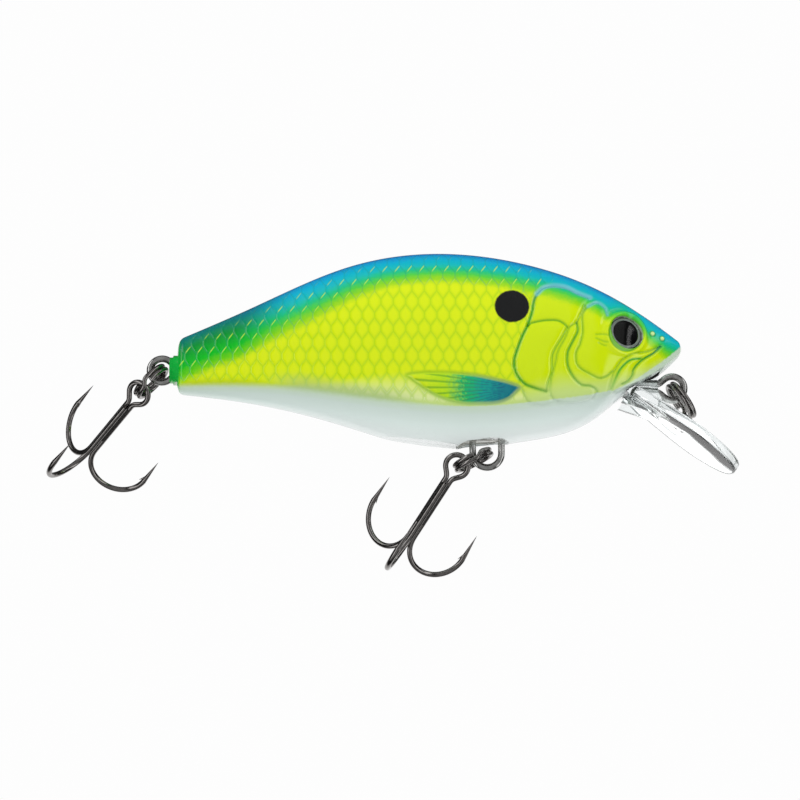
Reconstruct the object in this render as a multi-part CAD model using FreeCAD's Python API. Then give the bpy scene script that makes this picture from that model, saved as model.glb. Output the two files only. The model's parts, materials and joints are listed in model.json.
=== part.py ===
import FreeCAD, Part
import math
import os

# Crankbait lure, modelled in millimetres and built from separate pieces.
# The origin is the centre of the wire eye at the chin that the line is tied to.
# +X points out of the nose, +Z out of the back, and y = 0 is the plane where the two body shells meet.

# ---- driving dimensions -------------------------------------------------------------------------
# Profiles of the hollow body in side view, as (x, z), and its half width, as (x, y).
BACK_LINE = [(-67.4, 6.8), (-57.5, 11.2), (-44.5, 16.9), (-31.4, 18.85),
             (-18.3, 16.9), (-11.8, 14.6), (-5.2, 11.0), (1.3, 6.3)]
CHINE_LINE = [(-67.4, -0.1), (-55.0, -0.6), (-45.3, -2.0), (-35.5, -3.4), (-25.7, -3.9),
              (-15.9, -2.8), (-7.6, -1.0), (-1.6, 2.4), (1.3, 5.0)]
BELLY_LINE = [(-67.4, -0.8), (-57.5, -2.1), (-44.5, -5.3), (-36.0, -7.8), (-28.0, -8.35),
              (-20.0, -7.3), (-10.1, -3.85), (-5.0, 0.2), (-2.0, 1.7), (1.3, 4.7)]
HALF_WIDTH = [(-67.4, 2.3), (-57.5, 4.2), (-44.5, 6.6), (-31.4, 7.9),
              (-20.0, 7.9), (-11.8, 6.9), (-5.2, 4.9), (-1.0, 2.7), (1.3, 0.9)]
TAIL_X = -67.4
NOSE_X = 1.3
STATIONS = [TAIL_X, -62, -56, -50, -44, -38, -31.5, -25, -19, -13.5, -9, -6, -3.5, -1.2, 0.4, NOSE_X]
BULGE_SHARE = 0.42      # height of the widest point, as a share of the way from chine to back
CHINE_SHARE = 0.86      # width at the chine, as a share of the widest point
BELLY_POWER = 1.8       # below 2 the belly is a rounded V
TAIL_ROUND = 0.8
NOSE_ROUND = 0.3

WALL = 1.3
CAVITY_X = (-60.0, -9.0)

WIRE_D = 0.95           # stainless wire of the line tie and both hook hangers
EYE_R = 1.65            # centre line of a round wire eye
NECK_TURN = 40.0        # how far an eye's wire turns back before it joins its legs, in degrees
NECK_R = 1.2
FIT = 0.02              # gap that a moulded slot leaves around a wire or an insert

TAIL_EYE = (-69.6, 2.5)
COLLAR_STEPS = [(2.05, 0.6), (1.8, 0.45)]   # radius and length of each step of the tail collar
HANGER_ARC = (-25.3, -9.0)                  # centre of the belly hanger's round bottom
HANGER_R = 1.95
LEG_LENGTH = 4.6
FOOT_LENGTH = 1.0
FOOT_BEND = 0.7

RING_R = 2.6           # centre line of a split ring
RING_WIRE = 0.62
RING_SLACK = 0.5       # how far a resting ring overshoots the centre of the eye it hangs in
LINE_RING_ANGLE = -56.0     # where each ring points, from +X towards +Z, in degrees
BELLY_RING_ANGLE = 205.0
TAIL_RING_ANGLE = 226.0

HOOK_WIRE = 0.75
HOOK_EYE_R = 1.55
HOOK_SHANK_END = 11.7   # from the centre of the eye to where the bend starts
BEND_R = 4.05
POINT_LENGTH = 3.95
POINT_SUNK = 0.06       # how far a point starts inside the end of its wire
POINT_STEP = 0.004      # how much thinner than the wire it starts
BARB_FROM_POINT = 3.0
BARB_LENGTH = 1.3
BARB_ANGLE = 30.0
RING_IN_EYE = 0.3      # how far the split ring sits from the hook eye's centre towards the shank
BRAZE_SPAN = (2.9, 9.5)
# Directions of each treble: along its shank, and out to its single hook.
BELLY_SHANK = (-0.520, 0.406, -0.751)
BELLY_SINGLE = (-0.219, -0.913, -0.342)
TAIL_SHANK = (-0.593, 0.603, -0.533)
TAIL_SINGLE = (-0.480, -0.797, -0.367)

LIP_ANGLE = 37.0        # the diving lip slopes down and forward by this
LIP_TIP = (8.8, -10.75)
LIP_THICK = 1.3
LIP_LENGTH = 17.2       # from the chin to the tip
LIP_ROOT_HALF = 3.6
LIP_HALF = 6.3
TENON_LENGTH = 4.2
TENON_HALF = 2.6
RISER_HALF = 1.9

EYE_CENTRE = (-6.5, 6.7)
EYE_YAW = 20.0          # an eye looks this much forward of sideways
EYE_PITCH = 10.0        # and this much up
SOCKET_R = 2.45
SOCKET_DEPTH = 0.95
DISC_R = 2.3
DISC_THICK = 0.35
LENS_HEIGHT = 0.8

POCKET_X = (-29.6, -22.3)
POCKET_HALF = 2.5
POCKET_TOP = -7.2
FLAT_FROM = (-39.6, -6.85)   # the hook rest, a flat on the belly behind the pocket
FLAT_TO = (-29.5, -8.12)

BALLAST_R = 2.3
BALLAST_X = (-21.5, -12.5)
BALLAST_Z = -1.1
KNOCKER_R = 2.5
KNOCKER_Z = 6.0
KNOCKER_BORE = 2.7
BULKHEADS = [(-47.2, -46.0), (-30.0, -28.8)]
RATTLE_R = 1.5
RATTLE_BORE = 1.7
RATTLE_AT = (-21.5, 6.5)
RATTLE_HALF = 5.9
BALL_GAP = 0.05
TUBE_WALL = 0.9
PIN_PLACES = [(-54.0, 4.5), (-38.0, 13.6), (-14.5, 9.5)]
PIN_R = 0.9
PIN_LENGTH = 2.4
PIN_BOSS_R = 1.8

BIG = 60.0


def vec(x, y, z):
    return FreeCAD.Vector(x, y, z)


def flat(x, z):
    """A point in the plane where the shells meet."""
    return FreeCAD.Vector(x, 0, z)


# ---- curves and solids --------------------------------------------------------------------------
def line_height(points):
    """The smooth curve through (x, value) points, as a function of x."""
    curve = Part.BSplineCurve()
    curve.interpolate([flat(x, value) for x, value in points])

    def at(x):
        low, high = curve.FirstParameter, curve.LastParameter
        for _ in range(50):
            middle = (low + high) / 2
            if curve.value(middle).x < x:
                low = middle
            else:
                high = middle
        return curve.value((low + high) / 2).z

    return at


back_z = line_height(BACK_LINE)
chine_z = line_height(CHINE_LINE)
belly_z = line_height(BELLY_LINE)
half_width = line_height(HALF_WIDTH)


def spline(points):
    curve = Part.BSplineCurve()
    curve.interpolate(points)
    return curve.toShape()


def body_section(x, inset):
    """The body's outline across x: flanks and back in one curve, and the belly in another."""
    top = back_z(x) - inset
    chine = chine_z(x) + 0.3 * inset
    bottom = belly_z(x) + inset
    wide = half_width(x) - inset
    chine_wide = wide * CHINE_SHARE
    bulge = chine + BULGE_SHARE * (top - chine)
    side = [(chine_wide, chine)]
    side.append((wide - 0.25 * (wide - chine_wide), (chine + bulge) / 2))
    for degrees in (90, 72, 54, 36, 18):
        t = math.radians(degrees)
        side.append((wide * math.sin(t), bulge + (top - bulge) * math.cos(t)))
    right = [vec(x, -y, z) for y, z in side]
    left = [vec(x, y, z) for y, z in reversed(side)]
    shares = [1 - k / 5 for k in range(11)]
    belly = [vec(x, chine_wide * s, bottom + (chine - bottom) * abs(s) ** BELLY_POWER) for s in shares]
    return Part.Wire([spline(right + [vec(x, 0, top)] + left), spline(belly)])


def body_loft(stations, inset=0.0):
    return Part.makeLoft([body_section(x, inset) for x in stations], True, False)


def rounded_end(solid, x, radius):
    """Rounds the edges of the flat end at x, if they can be rounded."""
    edges = [e for e in solid.Edges if all(abs(v.X - x) < 1e-3 for v in e.Vertexes)
             and abs(e.BoundBox.XMax - x) < 1e-2 and abs(e.BoundBox.XMin - x) < 1e-2]
    try:
        made = solid.makeFillet(radius, edges)
    except Exception:
        return solid
    return made if made.isValid() and made.Volume > 0.9 * solid.Volume else solid


def box(x, y, z):
    """A box from its (low, high) pairs."""
    made = Part.makeBox(x[1] - x[0], y[1] - y[0], z[1] - z[0])
    made.translate(vec(x[0], y[0], z[0]))
    return made


def rod(path, diameter):
    """Round wire along a list of edges that run on smoothly."""
    wire = Part.Wire(path)
    start = path[0].Vertexes[0].Point
    ahead = path[0].tangentAt(path[0].FirstParameter)
    ring = Part.Wire([Part.makeCircle(diameter / 2, start, ahead)])
    return wire.makePipeShell([ring], True, False)


def arc(start, middle, end):
    return Part.Arc(start, middle, end).toShape()


def line(start, end):
    return Part.makeLine(start, end)


def turn(centre, radius, begin, end):
    """An arc about centre in (across, along) coordinates, as its three points."""
    at = []
    for degrees in (begin, (begin + end) / 2, end):
        t = math.radians(degrees)
        at.append((centre[0] + radius * math.cos(t), centre[1] + radius * math.sin(t)))
    return at


def eye_and_legs(eye_r, gap, leg_end):
    """A round eye about (0, 0) whose wire runs back to two legs at across = +-gap, along = leg_end.
    Returns the (across, along) points of each line and arc, from one leg's end to the other's."""
    back = math.radians(NECK_TURN)
    joins = (eye_r * math.cos(back), eye_r * math.sin(back))
    neck_in = gap + NECK_R * (1 - math.cos(back))
    down = (joins[0] - neck_in) / math.sin(back)
    neck_top = joins[1] + down * math.cos(back)
    leg_top = neck_top + NECK_R * math.sin(back)
    neck = turn((gap + NECK_R, leg_top), NECK_R, 180, 180 + NECK_TURN)
    side = [[(gap, leg_end), (gap, leg_top)], neck, [neck[-1], joins]]
    eye = turn((0, 0), eye_r, NECK_TURN, -180 - NECK_TURN)
    other = [[(-x, y) for x, y in reversed(piece)] for piece in reversed(side)]
    return side + [eye] + other


def edges_of(pieces, place):
    """Lines and arcs from their points, each point put in space by place."""
    made = []
    for piece in pieces:
        points = [place(across, along) for across, along in piece]
        made.append(line(*points) if len(points) == 2 else arc(*points))
    return made


# ---- wire pieces --------------------------------------------------------------------------------
def feet(pieces):
    """Adds a foot, bent outwards, to both ends of a bent wire given as points."""
    gap, leg_end = pieces[0][0]
    bend = turn((gap + FOOT_BEND, leg_end), FOOT_BEND, 90, 180)
    foot = [(gap + FOOT_BEND + FOOT_LENGTH, leg_end + FOOT_BEND), bend[0]]
    first = [foot, bend]
    last = [[(-x, y) for x, y in reversed(piece)] for piece in reversed(first)]
    return first + pieces + last


def eye_wire(centre, along, diameter):
    """An eye at centre with two legs and their feet running off towards along."""
    across = FreeCAD.Vector(0, 1, 0).cross(along)
    pieces = feet(eye_and_legs(EYE_R, 0.55 * WIRE_D, LEG_LENGTH))
    return rod(edges_of(pieces, lambda a, b: centre + across * a + along * b), diameter)


def hanger_wire(diameter):
    """The belly hanger: a staple with a round bottom."""
    leg_end = LEG_LENGTH - 0.2
    legs = [[(HANGER_R, leg_end), (HANGER_R, 0)]]
    bottom = turn((0, 0), HANGER_R, 0, -180)
    pieces = feet(legs + [bottom] + [[(-HANGER_R, 0), (-HANGER_R, leg_end)]])
    return rod(edges_of(pieces, lambda a, b: flat(HANGER_ARC[0] + a, HANGER_ARC[1] + b)), diameter)


def ring_direction(angle):
    return flat(math.cos(math.radians(angle)), math.sin(math.radians(angle)))


def ring_centre(eye, angle):
    return flat(*eye) + ring_direction(angle) * (RING_R - RING_SLACK)


def two_arcs(begin, begin_way, end, end_way):
    """Two round arcs that leave begin along begin_way and reach end along end_way with no corner."""
    chord = end - begin
    both = begin_way + end_way
    apart = 2 * (1 - begin_way.dot(end_way))
    reach = (math.sqrt(chord.dot(both) ** 2 + apart * chord.dot(chord)) - chord.dot(both)) / apart
    corners = [begin + begin_way * reach, end - end_way * reach]
    joint = (corners[0] + corners[1]) * 0.5
    arcs = []
    for first, corner, last in ((begin, corners[0], joint), (joint, corners[1], end)):
        middle = (first + last) * 0.5
        half = (last - first).Length / 2
        outward = corner - middle
        bend = math.atan2(outward.Length, half)
        arcs.append(arc(first, middle + outward * (half * math.tan(bend / 2) / outward.Length), last))
    return arcs


def split_ring(eye, angle, cut_at):
    """Two flat coils of wire with a short step from one to the other, which starts at cut_at degrees."""
    half_step = 0.51 * RING_WIRE
    step_turn = 34.0

    def at(degrees, height):
        t = math.radians(degrees)
        return vec(RING_R * math.cos(t), RING_R * math.sin(t), height)

    def coil(begin, end, height):
        return arc(at(begin, height), at((begin + end) / 2, height), at(end, height))

    ends = [vec(-math.sin(math.radians(d)), math.cos(math.radians(d)), 0) for d in (-step_turn / 2, step_turn / 2)]
    step = two_arcs(at(-step_turn / 2, -half_step), ends[0], at(step_turn / 2, half_step), ends[1])
    lower = coil(step_turn / 2 + 3 - 360, -step_turn / 2, -half_step)
    upper = coil(step_turn / 2, 360 - step_turn / 2 - 3, half_step)
    ring = rod([lower, *step, upper], RING_WIRE)
    ring.rotate(vec(0, 0, 0), vec(0, 0, 1), cut_at)
    pointing = ring_direction(angle)
    upright = FreeCAD.Vector(0, 1, 0)
    turned = FreeCAD.Matrix(pointing.x, upright.x, pointing.cross(upright).x, 0,
                            pointing.y, upright.y, pointing.cross(upright).y, 0,
                            pointing.z, upright.z, pointing.cross(upright).z, 0,
                            0, 0, 0, 1)
    ring.Placement = FreeCAD.Placement(turned).multiply(ring.Placement)
    ring.translate(ring_centre(eye, angle))
    return ring


# ---- treble hooks -------------------------------------------------------------------------------
SHANK_R = (HOOK_WIRE + 0.01) / math.sqrt(3)   # from the treble's axis to the centre of each wire


def in_hook(azimuth, out, along):
    """A point in a treble's own frame: x towards the single hook, z along the shank."""
    t = math.radians(azimuth)
    return vec(out * math.cos(t), out * math.sin(t), along)


def bend_edges(azimuth):
    """The round bend of one hook, from the shank out to where its point starts."""
    points = turn((SHANK_R + BEND_R, HOOK_SHANK_END), BEND_R, 180, 0)
    return [arc(*[in_hook(azimuth, out, along) for out, along in points])]


def hook_point(azimuth):
    """The tapered point of one hook, with its barb on the side of the shank."""
    root = in_hook(azimuth, SHANK_R + 2 * BEND_R, HOOK_SHANK_END)
    tip = in_hook(azimuth, SHANK_R + 2 * BEND_R - 0.14, HOOK_SHANK_END - POINT_LENGTH)
    up = tip - root
    length = up.Length
    up.normalize()
    base = root - up * POINT_SUNK
    needle = Part.makeCone(HOOK_WIRE / 2 - POINT_STEP, 0.02, length + POINT_SUNK, base, up)
    inward = in_hook(azimuth, -1, 0)
    t = math.radians(BARB_ANGLE)
    lean = up * -math.cos(t) + inward * math.sin(t)
    heel = tip - up * BARB_FROM_POINT
    barb = Part.makeCone(0.22, 0.015, BARB_LENGTH, heel, lean)
    return needle.fuse(barb)


def treble(shank, single, eye_at):
    """A treble hook's double hook, single hook and braze, with the split ring's wire at eye_at."""
    along = FreeCAD.Vector(*shank)
    along.normalize()
    out = FreeCAD.Vector(*single)
    out = out - along * out.dot(along)
    out.normalize()
    third = along.cross(out)
    plane = -SHANK_R / 2

    def eye_place(across, down):
        return vec(plane, across, down)

    eye = edges_of(eye_and_legs(HOOK_EYE_R, SHANK_R * math.sin(math.radians(60)), HOOK_SHANK_END), eye_place)
    first = bend_edges(120)
    second = bend_edges(240)
    backwards = arc(*[in_hook(120, o, a) for o, a in turn((SHANK_R + BEND_R, HOOK_SHANK_END), BEND_R, 0, 180)])
    double = rod([backwards] + eye + second, HOOK_WIRE)
    double = double.fuse([hook_point(120), hook_point(240)])
    top = BRAZE_SPAN[0] - 0.2
    shank_line = line(in_hook(0, SHANK_R, top), in_hook(0, SHANK_R, HOOK_SHANK_END))
    lone = rod([shank_line] + bend_edges(0), HOOK_WIRE).fuse(hook_point(0))

    fillets = []
    for azimuth in (60, 180, 300):
        seam = [in_hook(azimuth, 0.24, BRAZE_SPAN[0])]
        side = in_hook(azimuth + 90, 0.3, 0)
        outer = in_hook(azimuth, 0.56, BRAZE_SPAN[0])
        seam += [outer + side, outer - side, seam[0]]
        bar = Part.Face(Part.makePolygon(seam)).extrude(vec(0, 0, BRAZE_SPAN[1] - BRAZE_SPAN[0]))
        fillets.append(largest(bar.cut([double, lone])))
    braze = Part.makeCompound(fillets)

    frame = FreeCAD.Matrix(out.x, third.x, along.x, 0, out.y, third.y, along.y, 0,
                           out.z, third.z, along.z, 0, 0, 0, 0, 1)
    origin = eye_at - along * RING_IN_EYE - out * plane
    pieces = []
    for piece in (double, lone, braze):
        piece.Placement = FreeCAD.Placement(frame)
        piece.translate(origin)
        pieces.append(piece)
    return pieces


def largest(shape):
    return max(shape.Solids, key=lambda s: s.Volume)


# ---- diving lip ---------------------------------------------------------------------------------
def lip():
    """A clear plate with a rounded front, a tenon inside the chin and a riser that grips the line tie."""
    t = math.radians(LIP_ANGLE)
    root_x = LIP_TIP[0] - LIP_LENGTH * math.cos(t)
    root_z = LIP_TIP[1] + LIP_LENGTH * math.sin(t)
    widest = 0.6 * LIP_LENGTH
    start = vec(0, LIP_ROOT_HALF, 0)
    far = vec(LIP_LENGTH, 0, 0)
    side = Part.BSplineCurve()
    side.interpolate(Points=[start, vec(0.3 * LIP_LENGTH, 0.86 * LIP_HALF, 0), vec(widest, LIP_HALF, 0),
                             vec(0.88 * LIP_LENGTH, 0.72 * LIP_HALF, 0), far],
                     InitialTangent=vec(1, 0.5, 0), FinalTangent=vec(0, -1, 0))
    side = side.toShape()
    mirror = side.mirror(vec(0, 0, 0), vec(0, 1, 0))
    root = line(vec(0, -LIP_ROOT_HALF, 0), start)
    outline = Part.Wire(Part.__sortEdges__([side, mirror, root]))
    plate = Part.Face(outline).extrude(vec(0, 0, -LIP_THICK))
    try:
        rim = [e for e in plate.Edges if e.BoundBox.ZLength < 1e-3 and e.BoundBox.XMax > 1]
        plate = plate.makeFillet(0.3, rim)
    except Exception:
        print("lip rim left square")
    tenon = box((-TENON_LENGTH, 0.5), (-TENON_HALF, TENON_HALF), (-LIP_THICK, 0))
    ribs = []
    for side_sign in (-1, 1):
        y = side_sign * 2.3
        shape = Part.makePolygon([vec(-0.6, y - 0.4, -LIP_THICK + 0.2), vec(-0.6, y - 0.4, -LIP_THICK - 1.7),
                                  vec(5.2, y - 0.4, -LIP_THICK + 0.2), vec(-0.6, y - 0.4, -LIP_THICK + 0.2)])
        ribs.append(Part.Face(shape).extrude(vec(0, 0.8, 0)))
    plate = plate.fuse([tenon] + ribs)
    plate.rotate(vec(0, 0, 0), vec(0, 1, 0), LIP_ANGLE)
    plate.translate(vec(root_x, 0, root_z))

    def top_z(x):
        return LIP_TIP[1] + (LIP_TIP[0] - x) * math.tan(t) - 0.4

    corners = [(-5.6, top_z(-5.6)), (-5.6, 2.6), (-2.4, 3.4), (-1.75, 2.3), (-2.25, 0.6), (-2.1, -0.9),
               (-0.8, top_z(-0.8))]
    face = Part.Face(Part.makePolygon([flat(*c) for c in corners + corners[:1]]))
    face.translate(vec(0, -RISER_HALF, 0))
    riser = face.extrude(vec(0, 2 * RISER_HALF, 0))
    return plate.fuse(riser).removeSplitter()


# ---- eyes ---------------------------------------------------------------------------------------
def eye_frame(side):
    """Where an eye looks, and the centre of its socket's mouth. side is 1 for left, -1 for right."""
    yaw = math.radians(EYE_YAW)
    pitch = math.radians(EYE_PITCH)
    look = vec(math.sin(yaw) * math.cos(pitch), side * math.cos(yaw) * math.cos(pitch), math.sin(pitch))
    x, z = EYE_CENTRE
    bulge = chine_z(x) + BULGE_SHARE * (back_z(x) - chine_z(x))
    rise = (z - bulge) / (back_z(x) - bulge)
    return look, vec(x, side * half_width(x) * math.sqrt(1 - rise * rise), z)


def eye_pieces(side):
    look, mouth = eye_frame(side)
    floor = mouth - look * SOCKET_DEPTH
    socket = Part.makeCylinder(SOCKET_R, SOCKET_DEPTH + 3, floor, look)
    disc = Part.makeCylinder(DISC_R, DISC_THICK, floor, look)
    ball_r = (DISC_R ** 2 + LENS_HEIGHT ** 2) / (2 * LENS_HEIGHT)
    disc_top = floor + look * DISC_THICK
    ball = Part.makeSphere(ball_r, disc_top - look * (ball_r - LENS_HEIGHT))
    lens = ball.common(Part.makeCylinder(DISC_R, LENS_HEIGHT + 1, disc_top, look))
    return socket, disc, lens


# ---- body shells --------------------------------------------------------------------------------
def tube(start, axis, length, bore):
    """A moulded tube, closed at both ends by what it runs into."""
    direction = FreeCAD.Vector(*axis)
    outer = Part.makeCylinder(bore + TUBE_WALL, length, start, direction)
    return outer, Part.makeCylinder(bore, length, start, direction)


def shells(lip_solid, sockets, tie_slot, belly_slot, tail_slot):
    outer = rounded_end(rounded_end(body_loft(STATIONS), TAIL_X, TAIL_ROUND), NOSE_X, NOSE_ROUND)
    inside = [CAVITY_X[0]] + [x for x in STATIONS if CAVITY_X[0] < x < CAVITY_X[1] - 1] + [CAVITY_X[1]]
    cavity = body_loft(inside, WALL)
    inner = []
    bores = []

    # the boss round the belly hanger, the ballast's two ribs, and the bulkheads of the knocker tube
    inner.append(box((POCKET_X[0] - 1.0, POCKET_X[1] + 1.0), (-2.6, 2.6), (-10, -2.6)))
    for x in (BALLAST_X[0] + 1.6, BALLAST_X[1] - 2.8):
        inner.append(box((x, x + 1.2), (-BIG, BIG), (-10, BALLAST_Z)))
    ballast_slot = Part.makeCylinder(BALLAST_R + FIT, BALLAST_X[1] - BALLAST_X[0] + 1,
                                     flat(BALLAST_X[0] - 0.5, BALLAST_Z), vec(1, 0, 0))
    bores.append(ballast_slot)
    for x in BULKHEADS:
        inner.append(box(x, (-BIG, BIG), (-20, 20)))
    knock_from = BULKHEADS[0][1]
    knock_length = BULKHEADS[1][0] - knock_from
    outer_tube, bore = tube(flat(knock_from, KNOCKER_Z), (1, 0, 0), knock_length, KNOCKER_BORE)
    inner.append(outer_tube)
    bores.append(bore)

    # the rattle tube runs from wall to wall
    outer_tube, _ = tube(vec(RATTLE_AT[0], -BIG / 2, RATTLE_AT[1]), (0, 1, 0), BIG, RATTLE_BORE)
    inner.append(outer_tube)
    bores.append(Part.makeCylinder(RATTLE_BORE, 2 * RATTLE_HALF, vec(RATTLE_AT[0], -RATTLE_HALF, RATTLE_AT[1]),
                                   vec(0, 1, 0)))
    for x, z in PIN_PLACES:
        inner.append(Part.makeCylinder(PIN_BOSS_R, BIG, vec(x, -BIG / 2, z), vec(0, 1, 0)))

    solid = outer.cut(cavity)
    for piece in inner:
        solid = solid.fuse(piece.common(outer))
    radius, length = COLLAR_STEPS[0]
    collar = Part.makeCylinder(radius, length + 1, flat(TAIL_X + 1, TAIL_EYE[1]), vec(-1, 0, 0))
    small, more = COLLAR_STEPS[1]
    step = Part.makeCylinder(small, length + more + 1, flat(TAIL_X + 1, TAIL_EYE[1]), vec(-1, 0, 0))
    solid = solid.fuse([collar, step])

    pocket = box((POCKET_X[0] + POCKET_HALF, POCKET_X[1] - POCKET_HALF), (-POCKET_HALF, POCKET_HALF),
                 (-12, POCKET_TOP))
    for x in (POCKET_X[0] + POCKET_HALF, POCKET_X[1] - POCKET_HALF):
        pocket = pocket.fuse(Part.makeCylinder(POCKET_HALF, 12 + POCKET_TOP, vec(x, 0, -12)))
    rest = Part.Face(Part.makePolygon([flat(*FLAT_FROM), flat(*FLAT_TO), flat(FLAT_TO[0], -12),
                                       flat(FLAT_FROM[0] - 1, -12), flat(*FLAT_FROM)]))
    rest.translate(vec(0, -8, 0))
    rest = rest.extrude(vec(0, 16, 0))
    for tool in bores + [pocket, rest, lip_solid, tie_slot, belly_slot, tail_slot] + sockets:
        solid = solid.cut(tool)

    left = largest(solid.common(box((-BIG * 2, BIG), (0, BIG), (-BIG, BIG))))
    right = largest(solid.common(box((-BIG * 2, BIG), (-BIG, 0), (-BIG, BIG))))
    for x, z in PIN_PLACES:
        left = left.fuse(Part.makeCylinder(PIN_R, PIN_LENGTH + 0.5, vec(x, 0.5, z), vec(0, -1, 0)))
        right = right.cut(Part.makeCylinder(PIN_R + 0.05, PIN_LENGTH + 0.2, vec(x, 0, z), vec(0, -1, 0)))
    return largest(left), largest(right)


# ---- the whole lure -----------------------------------------------------------------------------
def build():
    tail = flat(*TAIL_EYE)
    parts = {}
    parts["line_tie_wire"] = eye_wire(vec(0, 0, 0), vec(-1, 0, 0), WIRE_D)
    parts["tail_hook_hanger"] = eye_wire(tail, vec(1, 0, 0), WIRE_D)
    parts["belly_hook_hanger"] = hanger_wire(WIRE_D)
    tie_slot = eye_wire(vec(0, 0, 0), vec(-1, 0, 0), WIRE_D + 2 * FIT)
    tail_slot = eye_wire(tail, vec(1, 0, 0), WIRE_D + 2 * FIT)
    belly_slot = hanger_wire(WIRE_D + 2 * FIT)

    whole_lip = lip()
    parts["diving_lip"] = largest(whole_lip.cut(tie_slot))

    sockets = []
    for side, name in ((1, "left"), (-1, "right")):
        socket, disc, lens = eye_pieces(side)
        sockets.append(socket)
        parts[name + "_eye_disc"] = disc
        parts[name + "_eye_lens"] = lens

    left, right = shells(whole_lip, sockets, tie_slot, belly_slot, tail_slot)
    parts["left_body_shell"] = left
    parts["right_body_shell"] = right

    parts["line_tie_split_ring"] = split_ring((0, 0), LINE_RING_ANGLE, 60)
    parts["belly_split_ring"] = split_ring(HANGER_ARC, BELLY_RING_ANGLE, 250)
    parts["tail_split_ring"] = split_ring(TAIL_EYE, TAIL_RING_ANGLE, 290)
    reach = 2 * RING_R - RING_SLACK
    for name, eye, angle, shank, single in (
            ("belly", HANGER_ARC, BELLY_RING_ANGLE, BELLY_SHANK, BELLY_SINGLE),
            ("tail", TAIL_EYE, TAIL_RING_ANGLE, TAIL_SHANK, TAIL_SINGLE)):
        eye_at = flat(*eye) + ring_direction(angle) * reach
        double, lone, braze = treble(shank, single, eye_at)
        parts[name + "_double_hook"] = double
        parts[name + "_single_hook"] = lone
        parts[name + "_hook_braze"] = braze

    parts["belly_ballast"] = Part.makeCylinder(BALLAST_R, BALLAST_X[1] - BALLAST_X[0],
                                               flat(BALLAST_X[0], BALLAST_Z), vec(1, 0, 0))
    middle = (BULKHEADS[0][1] + BULKHEADS[1][0]) / 2
    parts["knocker_ball"] = Part.makeSphere(KNOCKER_R, flat(middle, KNOCKER_Z))
    for place, name in ((-1, "right"), (0, "middle"), (1, "left")):
        across = place * (2 * RATTLE_R + BALL_GAP)
        parts[name + "_rattle_ball"] = Part.makeSphere(RATTLE_R, vec(RATTLE_AT[0], across, RATTLE_AT[1]))
    return parts


def main():
    os.makedirs("parts", exist_ok=True)
    for name, shape in build().items():
        shape.exportStep("parts/" + name + ".step")
        solids = len(shape.Solids)
        print(f"{name}: {solids} solid(s), {shape.Volume:.1f} mm3, valid {shape.isValid()}")


main()
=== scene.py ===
# %% [markdown]
# # A crankbait lure
# This lesson dresses a packed fishing lure: a hollow plastic fish with a clear diving lip, wire eyes,
# split rings and treble hooks. The imported model fixes every place and size, so it is loaded first.

# %% Load the imported model
import json
import math

import bmesh
import bpy
import numpy as np
from mathutils import Matrix, Vector, kdtree


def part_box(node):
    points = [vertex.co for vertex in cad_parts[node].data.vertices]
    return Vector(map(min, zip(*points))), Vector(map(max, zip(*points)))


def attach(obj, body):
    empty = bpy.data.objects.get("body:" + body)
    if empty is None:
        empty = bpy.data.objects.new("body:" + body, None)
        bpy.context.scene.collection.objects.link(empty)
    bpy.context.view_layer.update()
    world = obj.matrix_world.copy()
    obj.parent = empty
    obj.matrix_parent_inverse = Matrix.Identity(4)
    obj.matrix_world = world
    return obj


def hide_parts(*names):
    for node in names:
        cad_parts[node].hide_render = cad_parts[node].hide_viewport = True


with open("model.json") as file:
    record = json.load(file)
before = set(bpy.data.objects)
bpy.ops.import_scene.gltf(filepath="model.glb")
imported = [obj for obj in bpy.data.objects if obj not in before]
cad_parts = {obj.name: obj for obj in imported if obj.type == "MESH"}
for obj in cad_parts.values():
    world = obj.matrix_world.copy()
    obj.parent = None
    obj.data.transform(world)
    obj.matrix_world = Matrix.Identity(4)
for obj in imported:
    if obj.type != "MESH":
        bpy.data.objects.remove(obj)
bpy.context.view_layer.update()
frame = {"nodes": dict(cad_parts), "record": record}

MM = 0.001

# %% [markdown]
# ## Camera
# A close, wide lens would swell the nose of such a small thing, so a long lens stands well back and keeps
# the fish in true proportion. It looks slightly up at the belly, where the hooks hang.

# %% Camera
LOOK_UP = math.radians(12)
TARGET = Vector((-37.1, 0, -1.6)) * MM
DISTANCE = 302.7 * MM

camera = bpy.data.objects.new("camera", bpy.data.cameras.new("camera"))
bpy.context.scene.collection.objects.link(camera)
camera.data.lens = 100
camera.data.sensor_width = 36
camera.data.clip_start = 0.01
camera.location = TARGET - DISTANCE * Vector((0, math.cos(LOOK_UP), math.sin(LOOK_UP)))
camera.rotation_euler = (math.radians(90) + LOOK_UP, 0, 0)
bpy.context.scene.camera = camera
bpy.context.scene.view_settings.view_transform = "Standard"
print("camera at", [round(c / MM) for c in camera.location], "mm")

# %% [markdown]
# ## Colours and nodes
# A finish is a tree of nodes. Blender works in linear light while colour charts are in sRGB, so one function
# turns a hex code to linear. One more adds a node with its settings and links, and that is enough to write a
# material as a short list.


# %% Colours and nodes
def colour(hex_code, alpha=1.0):
    """An sRGB hex code as linear red, green, blue and alpha."""
    channels = [int(hex_code[k:k + 2], 16) / 255 for k in (1, 3, 5)]
    linear = [c / 12.92 if c <= 0.04045 else ((c + 0.055) / 1.055) ** 2.4 for c in channels]
    return (*linear, alpha)


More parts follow.
